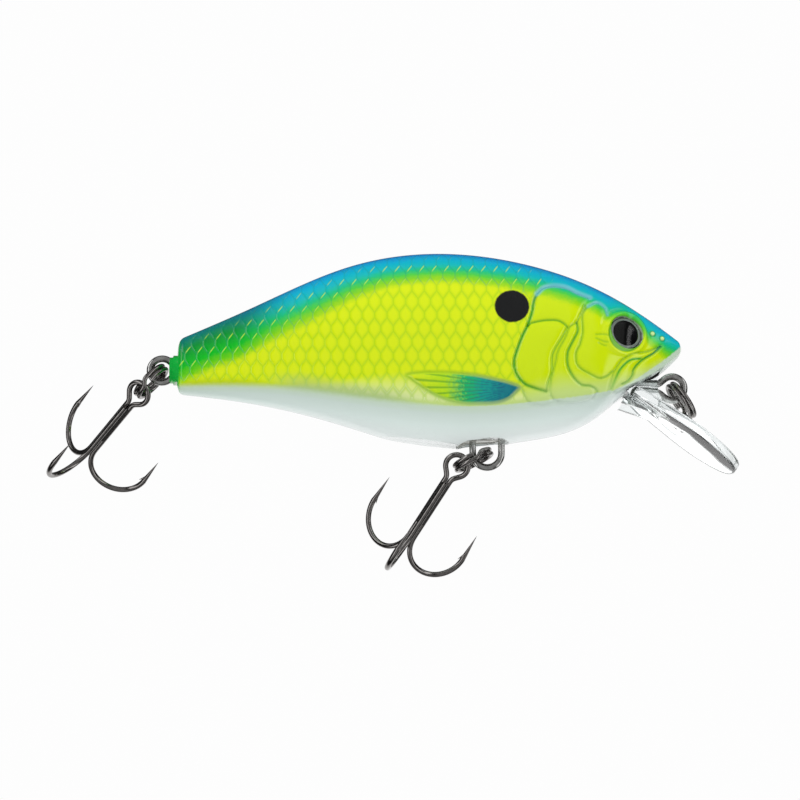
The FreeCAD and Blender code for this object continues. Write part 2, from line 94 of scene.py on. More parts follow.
def add(tree, kind, inputs=None, stops=None, **settings):
    """Adds a node. inputs maps socket names or numbers to values or to sockets to link from."""
    made = tree.nodes.new(kind)
    for name, value in settings.items():
        setattr(made, name, value)
    for name, value in (inputs or {}).items():
        if isinstance(value, bpy.types.NodeSocket):
            tree.links.new(value, made.inputs[name])
        else:
            made.inputs[name].default_value = value
    if stops:
        ramp = made.color_ramp.elements
        while len(ramp) > 1:
            ramp.remove(ramp[-1])
        ramp[0].position, ramp[0].color = stops[0]
        for place, shade in stops[1:]:
            ramp.new(place).color = shade
    return made


def new_material(name):
    made = bpy.data.materials.new(name)
    made.use_nodes = True
    made.node_tree.nodes.clear()
    return made, made.node_tree


def grey(value):
    return (value, value, value, 1.0)

# %% [markdown]
# ## The tent
# Small shiny things are shot in a white tent. If the gloss mirrored the same white all round, the clear coat
# would look milky, so the world answers each kind of ray for itself. Diffuse rays meet a tent that is
# brightest above. Glossy rays meet a dark room with a white panel at each side of the lens, a dim glow
# between them, and a low band behind. The camera, and what is seen through clear plastic, meet plain white.

# %% The tent
world = bpy.data.worlds.new("light_tent")
bpy.context.scene.world = world
world.use_nodes = True
tree = world.node_tree
tree.nodes.clear()
place = add(tree, "ShaderNodeTexCoord")
split = add(tree, "ShaderNodeSeparateXYZ", {0: place.outputs["Generated"]})
up = add(tree, "ShaderNodeMapRange", {"Value": split.outputs["Z"], "From Min": -1.0, "From Max": 1.0})
tent = add(tree, "ShaderNodeValToRGB", {0: up.outputs[0]},
           stops=[(0.0, grey(0.72)), (0.35, grey(0.86)), (0.5, grey(1.0)), (0.8, grey(1.1)),
                  (1.0, grey(1.05))])


def panel(middle, half_wide, edge):
    """How much of a white side panel lies in a direction: one inside it, with a soft edge."""
    off = add(tree, "ShaderNodeMath", {0: split.outputs["X"], 1: -middle}, operation="ADD")
    far = add(tree, "ShaderNodeMath", {0: off.outputs[0]}, operation="ABSOLUTE")
    inside = add(tree, "ShaderNodeMapRange", {"Value": far.outputs[0], "From Min": half_wide,
                                              "From Max": half_wide + edge, "To Min": 1.0, "To Max": 0.0})
    return inside.outputs[0]


panels = add(tree, "ShaderNodeMath", {0: panel(-0.74, 0.09, 0.06), 1: panel(0.74, 0.07, 0.06)},
             operation="MAXIMUM")
dim = add(tree, "ShaderNodeMath", {0: panel(0.0, 0.40, 0.12), 1: 0.18}, operation="MULTIPLY")
bright = add(tree, "ShaderNodeMath", {0: panels.outputs[0], 1: dim.outputs[0]}, operation="MAXIMUM")
ahead = add(tree, "ShaderNodeMapRange", {"Value": split.outputs["Y"], "From Min": 0.15, "From Max": -0.25})
glow = add(tree, "ShaderNodeMath", {0: bright.outputs[0], 1: ahead.outputs[0]}, operation="MULTIPLY")
far_side = add(tree, "ShaderNodeMapRange", {"Value": split.outputs["Y"], "From Min": 0.5, "From Max": 0.7,
                                            "To Max": 0.6})
low_side = add(tree, "ShaderNodeMapRange", {"Value": split.outputs["Z"], "From Min": 0.4, "From Max": 0.22})
behind = add(tree, "ShaderNodeMath", {0: far_side.outputs[0], 1: low_side.outputs[0]}, operation="MULTIPLY")
all_round = add(tree, "ShaderNodeMath", {0: glow.outputs[0], 1: behind.outputs[0]}, operation="MAXIMUM")
gloss = add(tree, "ShaderNodeMapRange", {"Value": all_round.outputs[0], "To Min": 0.03, "To Max": 1.5})
path = add(tree, "ShaderNodeLightPath")
lit = add(tree, "ShaderNodeMix", {"Factor": path.outputs["Is Glossy Ray"], "A": tent.outputs[0],
                                  "B": gloss.outputs[0]}, data_type="RGBA")
seen = add(tree, "ShaderNodeMath", {0: path.outputs["Is Camera Ray"], 1: path.outputs["Is Transmission Ray"]},
           operation="MAXIMUM")
shown = add(tree, "ShaderNodeMix", {"Factor": seen.outputs[0], "A": lit.outputs["Result"], "B": grey(0.985)},
            data_type="RGBA")
backdrop = add(tree, "ShaderNodeBackground", {"Color": shown.outputs["Result"], "Strength": 1.0})
add(tree, "ShaderNodeOutputWorld", {"Surface": backdrop.outputs[0]})


def soft_box(name, place, size, watts):
    """A square softbox that faces the middle of the lure, and leaves no square in its gloss."""
    light = bpy.data.lights.new(name, "AREA")
    light.shape = "SQUARE"
    light.size = size
    light.energy = watts
    lamp = bpy.data.objects.new(name, light)
    lamp.location = place
    lamp.rotation_euler = (TARGET - lamp.location).to_track_quat("-Z", "Y").to_euler()
    lamp.visible_glossy = False
    bpy.context.scene.collection.objects.link(lamp)


soft_box("top_softbox", Vector((-0.10, -0.12, 0.42)), 0.30, 0.3)
soft_box("back_softbox", Vector((0.10, 0.40, 0.25)), 0.25, 0.35)

# %% [markdown]
# ## Floor
# The lure hangs in the air over matt paper. The camera looks up, so the paper lies below the picture, and
# all it does is send soft light up to the belly.

# %% Floor
FLOOR_Z = -0.36
mesh = bpy.data.meshes.new("floor")
half = 20.0
mesh.from_pydata([(-half, -half, FLOOR_Z), (half, -half, FLOOR_Z), (half, half, FLOOR_Z),
                  (-half, half, FLOOR_Z)], [], [(0, 1, 2, 3)])
floor = bpy.data.objects.new("floor", mesh)
bpy.context.scene.collection.objects.link(floor)
paper, tree = new_material("matt_backdrop_paper")
surface = add(tree, "ShaderNodeBsdfPrincipled", {"Base Color": colour("#E4E6E6"), "Roughness": 0.9})
add(tree, "ShaderNodeOutputMaterial", {"Surface": surface.outputs[0]})
mesh.materials.append(paper)
floor.visible_glossy = False

# %% [markdown]
# ## The moulded fish
# The body is two ABS half shells, glued along the back and the belly. The tool maker cut the scales, gill
# covers and fins into the mould, so they are real relief and not paint. A smooth skin is worked out from
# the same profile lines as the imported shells: the back, the chine where the flank turns under, the keel
# and the half width, each a smooth curve through a few points in millimetres.

# %% Profile lines
BACK_LINE = [(-67.4, 6.8), (-57.5, 11.2), (-44.5, 16.9), (-31.4, 18.85),
             (-18.3, 16.9), (-11.8, 14.6), (-5.2, 11.0), (1.3, 6.3)]
CHINE_LINE = [(-67.4, -0.1), (-55.0, -0.6), (-45.3, -2.0), (-35.5, -3.4), (-25.7, -3.9),
              (-15.9, -2.8), (-7.6, -1.0), (-1.6, 2.4), (1.3, 5.0)]
BELLY_LINE = [(-67.4, -0.8), (-57.5, -2.1), (-44.5, -5.3), (-36.0, -7.8), (-28.0, -8.35),
              (-20.0, -7.3), (-10.1, -3.85), (-5.0, 0.2), (-2.0, 1.7), (1.3, 4.7)]
HALF_WIDTH = [(-67.4, 2.3), (-57.5, 4.2), (-44.5, 6.6), (-31.4, 7.9),
              (-20.0, 7.9), (-11.8, 6.9), (-5.2, 4.9), (-1.0, 2.7), (1.3, 0.9)]
TAIL_X, NOSE_X = -67.4, 1.3
BULGE_SHARE, CHINE_SHARE, BELLY_POWER = 0.42, 0.86, 1.8
TAIL_ROUND, NOSE_ROUND = 0.8, 0.45


def through(points, at):
    """The natural cubic spline through (x, value) points, read at the places in at."""
    x, value = np.array(points, float).T
    gap = np.diff(x)
    count = len(x)
    system = np.eye(count)
    target = np.zeros(count)
    for k in range(1, count - 1):
        system[k, k - 1:k + 2] = gap[k - 1], 2 * (gap[k - 1] + gap[k]), gap[k]
        target[k] = 6 * ((value[k + 1] - value[k]) / gap[k] - (value[k] - value[k - 1]) / gap[k - 1])
    bend = np.linalg.solve(system, target)
    k = np.clip(np.searchsorted(x, at) - 1, 0, count - 2)
    a, b, h = x[k + 1] - at, at - x[k], gap[k]
    curve = (bend[k] * a ** 3 + bend[k + 1] * b ** 3) / (6 * h)
    return curve + (value[k] / h - bend[k] * h / 6) * a + (value[k + 1] / h - bend[k + 1] * h / 6) * b


def smooth_step(low, high, value):
    t = np.clip((value - low) / (high - low), 0, 1)
    return t * t * (3 - 2 * t)


back_top = float(through(BACK_LINE, np.array([-31.4]))[0])
print("the back rises to", round(back_top, 1), "mm above the line tie")

# %% [markdown]
# Each half is a grid of points: rows run round the body from the keel to the back, and columns run from
# tail to nose. A grid keeps two measures for every point that the relief and the paint need: how far it is
# from the chine along the skin, and its place (u, v) in a side view that is tipped as far as the camera.


# %% The skin as a grid
def spread(points, count):
    """Moves a grid's rows so that each row's points are evenly spaced along it."""
    step = np.linalg.norm(np.diff(points, axis=1), axis=2)
    along = np.concatenate([np.zeros((len(points), 1)), np.cumsum(step, axis=1)], axis=1)
    even = np.empty((len(points), count, 3))
    for k, row in enumerate(points):
        places = np.linspace(0, along[k, -1], count)
        for axis in range(3):
            even[k, :, axis] = np.interp(places, along[k], row[:, axis])
    return even, along[:, -1]


def skin(stations, belly_count, flank_count, inset=0.0):
    """The left half of the skin: its points and each point's distance above the chine."""
    x = np.asarray(stations)[:, None]
    from_tail, from_nose = x - TAIL_X - inset, NOSE_X - inset - x
    shrink = inset + np.zeros_like(x)
    for gap, radius in ((from_tail, TAIL_ROUND), (from_nose, NOSE_ROUND)):
        t = np.clip(radius - gap, 0, radius)
        shrink = shrink + radius - np.sqrt(radius ** 2 - t ** 2)
    top = through(BACK_LINE, x) - shrink
    chine = through(CHINE_LINE, x) + 0.3 * shrink
    keel = through(BELLY_LINE, x) + shrink
    wide = through(HALF_WIDTH, x) - shrink
    keel = np.minimum(keel, chine - 0.05)
    bulge = chine + BULGE_SHARE * (top - chine)
    chine_wide = CHINE_SHARE * wide
    share = np.linspace(0, 1, 60)[None, :]
    belly_z = keel + (chine - keel) * share ** BELLY_POWER
    belly = np.stack(np.broadcast_arrays(x, chine_wide * share, belly_z), 2)
    angle = np.linspace(0, 1, 80)[None, :] * math.pi / 2
    lower_share = np.linspace(0, 1, 40)[None, :-1]
    lower_y = chine_wide + (wide - chine_wide) * np.sin(lower_share * math.pi / 2)
    lower = np.stack(np.broadcast_arrays(x, lower_y, chine + (bulge - chine) * lower_share), 2)
    upper = np.stack(np.broadcast_arrays(x, wide * np.cos(angle), bulge + (top - bulge) * np.sin(angle)), 2)
    flank = np.concatenate([lower, upper], axis=1)
    belly, belly_long = spread(belly, belly_count)
    flank, flank_long = spread(flank, flank_count)
    above = np.concatenate([np.linspace(-1, 0, belly_count)[None, :-1] * belly_long[:, None],
                            np.linspace(0, 1, flank_count)[None, :] * flank_long[:, None]], axis=1)
    return np.concatenate([belly[:, :-1], flank], axis=1), above


STATION_STEP = 0.19
LINES = (30, 176)      # rows of points on the belly and on the flank
stations = np.linspace(TAIL_X, NOSE_X, round((NOSE_X - TAIL_X) / STATION_STEP))
points, above_chine = skin(stations, *LINES)
lean_cos, lean_sin = math.cos(LOOK_UP), math.sin(LOOK_UP)
u = points[:, :, 0]
v = points[:, :, 2] * lean_cos + points[:, :, 1] * lean_sin
print("skin grid:", points.shape[0], "stations of", points.shape[1], "points")

# %% [markdown]
# ## Relief
# The details are drawn as a few smooth lines each, in millimetres along the body and up it. A line is cut
# as a groove, and a closed outline can also lift what is inside it, like the bones of a gill cover. The
# same distances are kept as attributes, because the grooves are painted a darker green.


# %% Lines and outlines
def smooth_line(corners, closed=False, pieces=10):
    """Points along the smooth curve through the corners."""
    p = np.array(corners, float)
    count = len(p)
    ends = [p[-1], p[0]] if closed else [2 * p[0] - p[1], 2 * p[-1] - p[-2]]
    q = np.vstack([ends[0], p, ends[1] if not closed else p[0], p[1] if closed else ends[1]])
    out = []
    for k in range(count if closed else count - 1):
        a, b, c, d = q[k:k + 4]
        for t in np.arange(pieces) / pieces:
            out.append(0.5 * (2 * b + (c - a) * t + (2 * a - 5 * b + 4 * c - d) * t ** 2
                              + (3 * b - a - 3 * c + d) * t ** 3))
    out.append(p[0] if closed else p[-1])
    return np.array(out)


def distance_to(line, reach):
    """How far each point of the skin is from a line, in mm, and reach or more where it is far away."""
    far = np.full(u.shape, float(reach))
    low, high = line.min(0) - reach, line.max(0) + reach
    near = (u > low[0]) & (u < high[0]) & (v > low[1]) & (v < high[1]) & (above_chine > -2.5)
    p = np.stack([u[near], v[near]], 1)
    best = np.full(len(p), float(reach))
    for a, b in zip(line[:-1], line[1:]):
        along = b - a
        t = np.clip(((p - a) @ along) / max(along @ along, 1e-9), 0, 1)
        best = np.minimum(best, np.linalg.norm(p - a - t[:, None] * along, axis=1))
    far[near] = best
    return far


def is_inside(line):
    """Which points of the skin lie inside a closed line."""
    found = np.zeros(u.shape, bool)
    for a, b in zip(line[:-1], line[1:]):
        crosses = (a[1] > v) != (b[1] > v)
        rise = b[1] - a[1] if abs(b[1] - a[1]) > 1e-9 else 1e-9
        found ^= crosses & (u < a[0] + (v - a[1]) * (b[0] - a[0]) / rise)
    return found


# %% Bones of the gill cover and cheek
COVER_TOP = [(-11.4, 12.3), (-13.0, 12.9), (-14.6, 13.7), (-16.4, 13.9), (-17.7, 13.6), (-18.6, 12.8),
             (-19.1, 11.8), (-19.4, 10.3), (-20.0, 8.5)]
COVER_REAR = [(-20.0, 8.5), (-20.8, 6.9), (-21.6, 4.8), (-21.9, 3.5), (-21.6, 2.0), (-20.6, 0.7),
              (-19.3, 0.1), (-17.6, -0.4)]
BLADE_TOP = [(-20.0, 8.5), (-19.3, 8.8), (-17.7, 9.1), (-16.1, 9.1), (-15.2, 8.7), (-14.7, 8.2)]
BLADE_FRONT = [(-14.7, 8.2), (-15.4, 6.9), (-16.4, 5.3), (-16.8, 4.2), (-16.9, 2.2), (-17.4, 0.7),
               (-17.6, -0.4)]
STRIP_REAR = [(-12.2, 11.2), (-12.9, 9.9), (-13.4, 8.9), (-14.4, 8.2), (-15.0, 6.8), (-16.0, 5.0),
              (-16.4, 3.3), (-16.9, 1.4), (-17.1, -0.1), (-16.8, -1.2), (-15.9, -1.9)]
STRIP_FRONT = [(-13.4, 8.9), (-13.3, 7.7), (-14.0, 6.3), (-14.7, 4.8), (-14.7, 3.1), (-14.0, 1.6),
               (-12.9, 0.5), (-11.6, 0.3), (-10.7, -0.4), (-11.2, -1.4)]
LOWER_LOBES = [(-20.8, 0.1), (-20.4, -1.2), (-19.5, -2.1), (-18.2, -2.3), (-16.9, -2.1), (-15.9, -1.9),
               (-14.0, -2.1), (-12.0, -1.7), (-11.2, -1.4)]
CHEEK = [(-9.1, 10.0), (-9.4, 10.9), (-10.4, 11.6), (-11.7, 11.1), (-12.6, 9.8), (-12.6, 7.7), (-13.0, 6.0),
         (-13.6, 4.6), (-13.3, 3.0), (-11.8, 2.0), (-10.5, 1.4), (-9.5, 1.6), (-8.6, 2.3)]
LIP_BONE = [(-1.8, 5.7), (-3.6, 5.0), (-5.7, 4.7), (-7.3, 3.8), (-8.4, 2.2), (-8.8, 0.9), (-9.2, -0.6)]
LIP_BONE_INNER = [(-4.7, 4.0), (-6.2, 3.8), (-7.5, 2.7), (-8.2, 1.4), (-8.8, -0.1)]
MOUTH = [(-1.8, 5.7), (-2.8, 4.8), (-4.5, 3.8), (-5.6, 2.7), (-5.9, 1.7), (-6.6, 0.9), (-7.3, 0.6)]
WRINKLES = [[(-10.9, 7.2), (-10.0, 7.2), (-9.3, 7.0)], [(-10.9, 6.7), (-10.2, 6.4), (-9.4, 6.1)],
            [(-10.5, 6.1), (-10.0, 5.8), (-9.6, 5.7)]]
# (line, depth of the groove, its width, how dark its paint is)
GROOVES = [(COVER_TOP, 0.26, 0.22, 1.0), (COVER_REAR, 0.28, 0.21, 1.0), (BLADE_TOP, 0.14, 0.15, 0.75),
           (BLADE_FRONT, 0.14, 0.15, 0.6), (STRIP_REAR, 0.14, 0.14, 0.5), (STRIP_FRONT, 0.22, 0.17, 0.9),
           (LOWER_LOBES, 0.16, 0.18, 0.35), (CHEEK, 0.16, 0.16, 0.55), (LIP_BONE, 0.15, 0.16, 0.4),
           (LIP_BONE_INNER, 0.14, 0.17, 1.0), (MOUTH, 0.2, 0.16, 1.0)]
GROOVES += [(wrinkle, 0.08, 0.12, 0.4) for wrinkle in WRINKLES]
# (outline, how far it lifts the skin, how wide its rounded edge is)
PLATES = [(COVER_TOP + BLADE_TOP[1:] + [(-13.4, 8.9), (-12.2, 11.2)], 0.26, 0.9),
          (COVER_REAR + BLADE_FRONT[::-1] + BLADE_TOP[::-1][1:-1], 0.28, 0.9),
          (STRIP_REAR[2:] + LOWER_LOBES[6:] + STRIP_FRONT[1:-1][::-1], 0.2, 0.8),
          (LOWER_LOBES[:5] + [(-17.1, -0.1), (-17.6, -0.4), (-19.3, 0.1)], 0.2, 0.6),
          (CHEEK + LIP_BONE[1:4][::-1] + [(-4.2, 5.4), (-6.6, 10.4)], 0.22, 0.9),
          (LIP_BONE + [(-8.6, -0.8), (-8.0, 0.0)] + MOUTH[1:][::-1], 0.26, 0.45)]
FIN = [(-36.2, 1.8), (-34.0, 2.1), (-30.8, 2.1), (-27.4, 1.8), (-24.8, 1.3), (-22.7, 0.8), (-21.2, 0.2),
       (-21.8, -0.6), (-22.8, -1.4), (-24.4, -1.9), (-26.5, -2.0), (-28.3, -2.0), (-30.1, -1.7),
       (-32.3, -0.9), (-34.4, 0.4), (-35.6, 1.3)]
print(len(GROOVES), "grooves and", len(PLATES), "raised plates")

# %% [markdown]
# ### Scales
# Scales lie in staggered rows like roof tiles, each with a free edge towards the tail. In the tipped side
# view each is a tall six-sided cell with short upright sides and steep tips, and it stands a little prouder
# at its free edge than where it is tucked in. The relief fades where the skin turns up to the back.

# %% Scale pattern
SCALE_LONG, SCALE_HIGH = 1.67, 1.83    # from scale to scale along a row, and from row to row
TIP_SLOPE = 1.3                        # how steep the tips of a scale are
SCALE_AT = (-49.7, 6.16)               # the middle of one scale
MIN_RISE = 0.45                        # rows keep at least this share of their height over the back

step = np.diff(points, axis=1)
step_long = np.linalg.norm(step, axis=2)
rise = np.maximum(step[:, :, 2] * lean_cos + step[:, :, 1] * lean_sin, MIN_RISE * step_long)
chine_column = LINES[0] - 1
rise[:, :chine_column] = step_long[:, :chine_column]
row_height = np.concatenate([np.zeros((len(points), 1)), np.cumsum(rise, axis=1)], axis=1)
row_height += (v - row_height)[:, chine_column][:, None]

lattice_x, lattice_y = u - SCALE_AT[0], row_height - SCALE_AT[1]
across = np.abs((lattice_x / SCALE_LONG + 0.5) % 1 - 0.5) * SCALE_LONG
upward = np.abs((lattice_y / (2 * SCALE_HIGH) + 0.5) % 1 - 0.5) * 2 * SCALE_HIGH
reach = SCALE_HIGH / 2 + TIP_SLOPE * SCALE_LONG / 4
past_tip = upward + TIP_SLOPE * across - reach
in_odd_row = past_tip > 0
to_side = np.where(in_odd_row, across, SCALE_LONG / 2 - across)
to_edge = np.minimum(np.abs(past_tip) / math.hypot(1, TIP_SLOPE), to_side)
shifted = lattice_x / SCALE_LONG + np.where(in_odd_row, 0.0, 0.5)
to_tail = 0.5 - (shifted % 1)
scale_height = smooth_step(0.0, 0.3, to_edge) * (0.65 + 0.7 * to_tail)

cover_line = np.interp(v, [-2.0, 0.7, 3.5, 6.9, 8.5, 10.3, 12.8, 13.7, 17.0],
                       [-20.4, -20.8, -22.1, -21.0, -20.2, -19.6, -18.8, -17.9, -14.0])
scaled = smooth_step(0.35, -0.15, u - cover_line) * smooth_step(0.2, 0.9, above_chine)
half_wide = through(HALF_WIDTH, points[:, :, 0])
facing_side = smooth_step(0.3, 0.75, points[:, :, 1] / half_wide)

# %% Cut the grooves and lift the plates
height = np.zeros(u.shape)
groove = np.zeros(u.shape)
for corners, lift, edge in PLATES:
    outline = smooth_line(corners, True)
    gap = distance_to(outline, 3.0)
    height += np.where(is_inside(outline), lift * (1 - np.exp(-gap / edge)), 0)
for corners, depth, width, dark in GROOVES:
    gap = distance_to(smooth_line(corners), 1.2)
    cut = np.exp(-(gap / width) ** 2)
    height -= depth * cut
    groove = np.maximum(groove, dark * cut)

# %% Fin and scales
FIN_LIFT, FIN_EDGE_DEPTH, RAY_DEPTH, SCALE_LIFT = 0.3, 0.12, 0.07, 0.05
fin_outline = smooth_line(FIN, True)
fin_gap = distance_to(fin_outline, 2.0)
in_fin = is_inside(fin_outline)
FIN_ROOT = (-20.9, 0.1)
ray_angle = np.arctan2(v - FIN_ROOT[1], FIN_ROOT[0] - u)
RAY_STEP = math.radians(4.2)
rays = 0.5 + 0.5 * np.cos(2 * math.pi * ray_angle / RAY_STEP)
fin = np.where(in_fin, smooth_step(0, 0.3, fin_gap), 0)
rays *= smooth_step(1.0, 3.0, FIN_ROOT[0] - u)
fin_edge = np.exp(-(fin_gap / 0.22) ** 2)
scaled *= np.where(in_fin, 0, smooth_step(0.0, 0.5, fin_gap))
height += (np.where(in_fin, FIN_LIFT * (1 - np.exp(-fin_gap / 0.25)), 0) - FIN_EDGE_DEPTH * fin_edge
           - RAY_DEPTH * fin * rays ** 2)
height += SCALE_LIFT * scaled * scale_height * facing_side

# %% Gill blade, eye rim and nostrils
blade = is_inside(smooth_line(PLATES[1][0], True))
fan = np.arctan2(v - 9.6, u + 15.4)
striae = np.where(blade, (0.5 + 0.5 * np.cos(fan * 34)) ** 3 * smooth_step(5.0, 1.5, v), 0)
height -= 0.03 * striae

low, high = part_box("left_eye_disc")
eye_centre = (low + high) / 2 / MM
eye_u, eye_v = eye_centre.x, eye_centre.z * lean_cos + eye_centre.y * lean_sin
from_eye = np.hypot(u - eye_u, v - eye_v)
height += 0.3 * np.exp(-((from_eye - 2.75) / 0.3) ** 2)
above_eye = smooth_step(-0.5, 1.5, v - eye_v + 0.3 * (u - eye_u))
height -= 0.16 * np.exp(-((from_eye - 3.35) / 0.22) ** 2) * above_eye
nostril = np.full(u.shape, 3.0)
for nostril_u, nostril_v in ((-2.9, 7.4), (-1.55, 6.75)):
    nostril = np.minimum(nostril, np.hypot(u - nostril_u, v - nostril_v))
height += 0.2 * np.exp(-(nostril / 0.28) ** 4)

# %% Glue seam and chine
# The relief dies out at the seam and at both ends. The seam and the chine are fine lines of their own.
side = smooth_step(0.0, 0.7, points[:, :, 1])
ends = smooth_step(TAIL_X + 0.2, TAIL_X + 1.2, u) * smooth_step(NOSE_X - 0.1, NOSE_X - 0.8, u)
height *= side * ends
height -= 0.05 * np.exp(-(points[:, :, 1] / 0.12) ** 2) * (above_chine > 0)
height -= 0.10 * np.exp(-(above_chine / 0.22) ** 2) * ends * smooth_step(-9, -12, u)
print("relief runs from", round(float(height.min()), 2), "to", round(float(height.max()), 2), "mm")

# %% [markdown]
# ## Solid halves
# A moulded half has walls, ribs, tubes and pin sockets inside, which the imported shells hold. The detailed
# skin is closed into a solid half fish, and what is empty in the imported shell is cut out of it. The empty
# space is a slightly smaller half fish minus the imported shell, so every slot and socket keeps its place.


# %% Meshes
def move(grid, lift):
    """Moves each point of a grid out along the skin by lift, and keeps the seam in its plane."""
    along = np.gradient(grid, axis=0)
    around = np.gradient(grid, axis=1)
    out = np.cross(around, along)
    out /= np.maximum(np.linalg.norm(out, axis=2, keepdims=True), 1e-9)
    middle = grid.mean(axis=1, keepdims=True)
    out *= np.where(np.sum(out * (grid - middle * [1, 0, 1]), axis=2, keepdims=True) < 0, -1, 1)
    moved = grid + out * lift[:, :, None]
    moved[:, [0, -1], 1] = grid[:, [0, -1], 1]
    return moved


def half_solid(name, grid, mirrored=False):
    """A closed mesh from the grid of the left half, or its mirror image for the right half."""
    rows, columns = grid.shape[:2]
    verts = grid.reshape(-1, 3) * MM
    if mirrored:
        verts = verts * [1, -1, 1]
    k = np.arange(rows * columns).reshape(rows, columns)
    quads = np.stack([k[:-1, :-1], k[1:, :-1], k[1:, 1:], k[:-1, 1:]], 2).reshape(-1, 4).tolist()
    seam = [[k[r, 0], k[r, -1], k[r + 1, -1], k[r + 1, 0]] for r in range(rows - 1)]
    faces = quads + [[int(c) for c in f] for f in seam] + [k[0, :].tolist(), k[-1, ::-1].tolist()]
    if not mirrored:
        faces = [face[::-1] for face in faces]
    mesh = bpy.data.meshes.new(name)
    mesh.from_pydata(verts.tolist(), [], faces)
    mesh.update()
    return mesh_object(name, mesh)


def mesh_object(name, mesh):
    made = bpy.data.objects.new(name, mesh)
    bpy.context.scene.collection.objects.link(made)
    return made


def prism(name, outline, low, high, axis=2):
    """A straight prism over an outline in millimetres, from low to high along an axis."""
    count = len(outline)
    others = [k for k in range(3) if k != axis]
    verts = np.zeros((2 * count, 3))
    verts[:, others] = np.vstack([outline, outline])
    verts[:count, axis], verts[count:, axis] = low, high
    faces = [list(range(count)), list(range(2 * count - 1, count - 1, -1))]
    faces += [[k, k + count, (k + 1) % count + count, (k + 1) % count] for k in range(count)]
    mesh = bpy.data.meshes.new(name)
    mesh.from_pydata((verts * MM).tolist(), [], faces)
    shape = bmesh.new()
    shape.from_mesh(mesh)
    bmesh.ops.recalc_face_normals(shape, faces=shape.faces)
    shape.to_mesh(mesh)
    shape.free()
    return mesh_object(name, mesh)


def circle(radius, centre=(0, 0), count=64):
    turn = np.arange(count) * 2 * math.pi / count
    return np.stack([centre[0] + radius * np.cos(turn), centre[1] + radius * np.sin(turn)], 1)


def combine(target, tool, how, keep_tool=False):
    """target becomes its union with, difference from or intersection with the tool."""
    cutter = target.modifiers.new(how, "BOOLEAN")
    cutter.operation = how
    cutter.object = tool
    cutter.solver = "MANIFOLD"
    bpy.context.view_layer.update()
    made = bpy.data.meshes.new_from_object(target.evaluated_get(bpy.context.evaluated_depsgraph_get()))
    target.modifiers.clear()
    target.data = made
    if not keep_tool:
        bpy.data.objects.remove(tool)


def copy_of(node):
    """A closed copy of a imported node's mesh, with its split corners joined up."""
    made = mesh_object(node + "_copy", frame["nodes"][node].data.copy())
    shape = bmesh.new()
    shape.from_mesh(made.data)
    bmesh.ops.remove_doubles(shape, verts=shape.verts, dist=1e-7)
    shape.to_mesh(made.data)
    shape.free()
    return made


# %% Cut each half out
INSET = 0.5
POCKET_X, POCKET_HALF, POCKET_TOP = (-29.6, -22.3), 2.48, -7.3
REST_FROM, REST_TO = (-39.6, -6.85), (-29.5, -8.12)
EYE_YAW, EYE_PITCH, SOCKET_R = math.radians(20), math.radians(10), 2.43
TAIL_WIRE_Z = 2.5
COLLAR = [(2.05, -68.0), (1.8, -68.45)]
PINS = [(-54.0, 4.5), (-38.0, 13.6), (-14.5, 9.5)]
PIN_R, PIN_LONG = 0.9, 2.4

rest = REST_FROM[1] + (u - REST_FROM[0]) * (REST_TO[1] - REST_FROM[1]) / (REST_TO[0] - REST_FROM[0])
detailed = move(points, height)
on_rest = (u > REST_FROM[0] - 1) & (u < REST_TO[0]) & (above_chine < 0)
detailed[:, :, 2] = np.where(on_rest, np.maximum(detailed[:, :, 2], rest + 0.03), detailed[:, :, 2])


def eye_look(side_sign):
    """The way that an eye looks. side_sign is 1 for the left eye and -1 for the right."""
    return Vector((math.sin(EYE_YAW) * math.cos(EYE_PITCH),
                   side_sign * math.cos(EYE_YAW) * math.cos(EYE_PITCH), math.sin(EYE_PITCH)))


def make_half(side_name, side_sign):
    """One half shell with its relief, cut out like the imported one."""
    shell = half_solid(side_name + "_painted_shell", detailed, side_sign < 0)
    for radius, end in COLLAR:
        ring = prism("collar", circle(radius, (0, TAIL_WIRE_Z), 96), end, TAIL_X + 1, axis=0)
        corners = [(-80, 0), (10, 0), (10, side_sign * 20), (-80, side_sign * 20)][::side_sign]
        combine(ring, prism("half_space", corners, -20, 30), "INTERSECT")
        combine(shell, ring, "UNION")
    inner_stations = np.linspace(TAIL_X + INSET, NOSE_X - INSET, 140)
    empty_grid, _ = skin(inner_stations, 20, 60, INSET)
    empty_grid[:, [0, -1], 1] -= 0.2
    empty = half_solid("empty_space", empty_grid, side_sign < 0)
    look = eye_look(side_sign)
    centre = Vector((eye_centre.x, side_sign * eye_centre.y, eye_centre.z))
    socket = prism("socket", circle(SOCKET_R), -1.0, 4.0)
    socket.data.transform(Matrix.Translation(centre * MM) @ look.to_track_quat("Z", "Y").to_matrix().to_4x4())
    combine(empty, socket, "UNION")
    ends = [circle(POCKET_HALF, (x, 0), 64) for x in (POCKET_X[0] + 2.5, POCKET_X[1] - 2.5)]
    round_ended = np.vstack([ends[0][16:49], ends[1][48:], ends[1][:17]])
    combine(empty, prism("pocket", round_ended, -12.0, POCKET_TOP), "UNION")
    combine(empty, prism("tail_slot", circle(1.3, (0, TAIL_WIRE_Z)), -69.5, TAIL_X + 2, axis=0), "UNION")
    combine(empty, copy_of(side_name + "_body_shell"), "DIFFERENCE")
    combine(shell, empty, "DIFFERENCE")
    combine(shell, copy_of("diving_lip"), "DIFFERENCE")
    if side_sign > 0:
        for x, z in PINS:
            combine(shell, prism("pin", circle(PIN_R, (x, z), 48), -PIN_LONG, 0.5, axis=1), "UNION")
    return shell


halves = {"left": make_half("left", 1), "right": make_half("right", -1)}
for name, half in halves.items():
    print(name, "half:", len(half.data.polygons), "faces")

